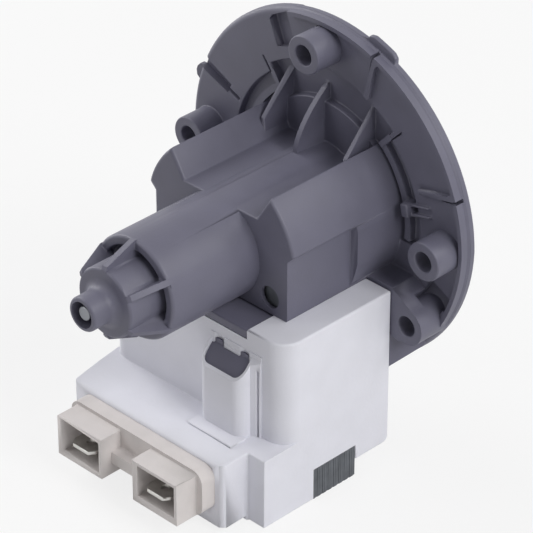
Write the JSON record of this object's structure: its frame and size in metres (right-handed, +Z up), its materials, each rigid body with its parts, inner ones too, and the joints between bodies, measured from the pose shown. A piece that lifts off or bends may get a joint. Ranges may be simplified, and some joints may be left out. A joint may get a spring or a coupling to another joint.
{
  "type": "washer drain pump",
  "caption": "Synchronous drain pump: round flange with screw bosses, rotor tube, coil block with spade terminals and a vaned impeller.",
  "frame": {"origin": "on the rotor axis, in the plane of the flange's front face", "axes": "+Y along the rotor axis towards the impeller, +Z up, away from the coil block, +X across the coil block"},
  "size_m": [0.0754, 0.0824, 0.0865],
  "materials": {
    "housing_plastic": "moulded, satin",
    "coil_plastic": "moulded, fine spark texture",
    "terminal_plastic": "moulded, matte",
    "tinned_brass": "stamped, tin plated",
    "lamination": "stamped sheet stack, varnished",
    "rubber": "moulded, matte",
    "bronze": "sintered, oiled",
    "copper": "enamelled wire",
    "cap_plastic": "moulded, satin",
    "bobbin_plastic": "moulded, satin",
    "wire_insulation": "extruded",
    "shaft_steel": "ground",
    "ferrite": "sintered, ground",
    "washer_plastic": "moulded",
    "impeller_plastic": "moulded, satin"
  },
  "bodies": {
    "pump_body": {"motor_housing": "housing_plastic", "flange_seal": "rubber", "bearing_cap": "cap_plastic", "cap_seal": "rubber", "front_bearing_sleeve": "rubber", "front_bearing": "bronze", "rear_bearing_sleeve": "rubber", "rear_bearing": "bronze", "coil_block": "coil_plastic", "pole_left": "lamination", "pole_right": "lamination", "stator_yoke": "lamination", "bobbin_left": "bobbin_plastic", "bobbin_right": "bobbin_plastic", "winding_left": "copper", "winding_right": "copper", "winding_link": "copper", "coil_lead_left": "wire_insulation", "coil_lead_right": "wire_insulation", "thermal_fuse": "wire_insulation", "latch_tongue": "housing_plastic", "terminal_plate": "terminal_plastic", "spade_terminal_left": "tinned_brass", "spade_terminal_right": "tinned_brass"},
    "rotor": {"rotor_shaft": "shaft_steel", "rotor_magnet": "ferrite", "magnet_core": "bobbin_plastic", "rear_thrust_washer": "washer_plastic", "front_thrust_washer": "washer_plastic", "drive_dog": "washer_plastic"},
    "impeller": {"impeller": "impeller_plastic", "impeller_cap": "impeller_plastic", "dog_bumper": "rubber"}
  },
  "joints": [
    {"name": "rotor_spin", "type": "hinge", "parent": "pump_body", "child": "rotor", "pos_m": [0, 0, 0], "axis": [0, 1, 0], "continuous": true},
    {"name": "impeller_play", "type": "hinge", "parent": "rotor", "child": "impeller", "pos_m": [0, 0, 0], "axis": [0, 1, 0], "range_deg": [-125, 125]}
  ]
}
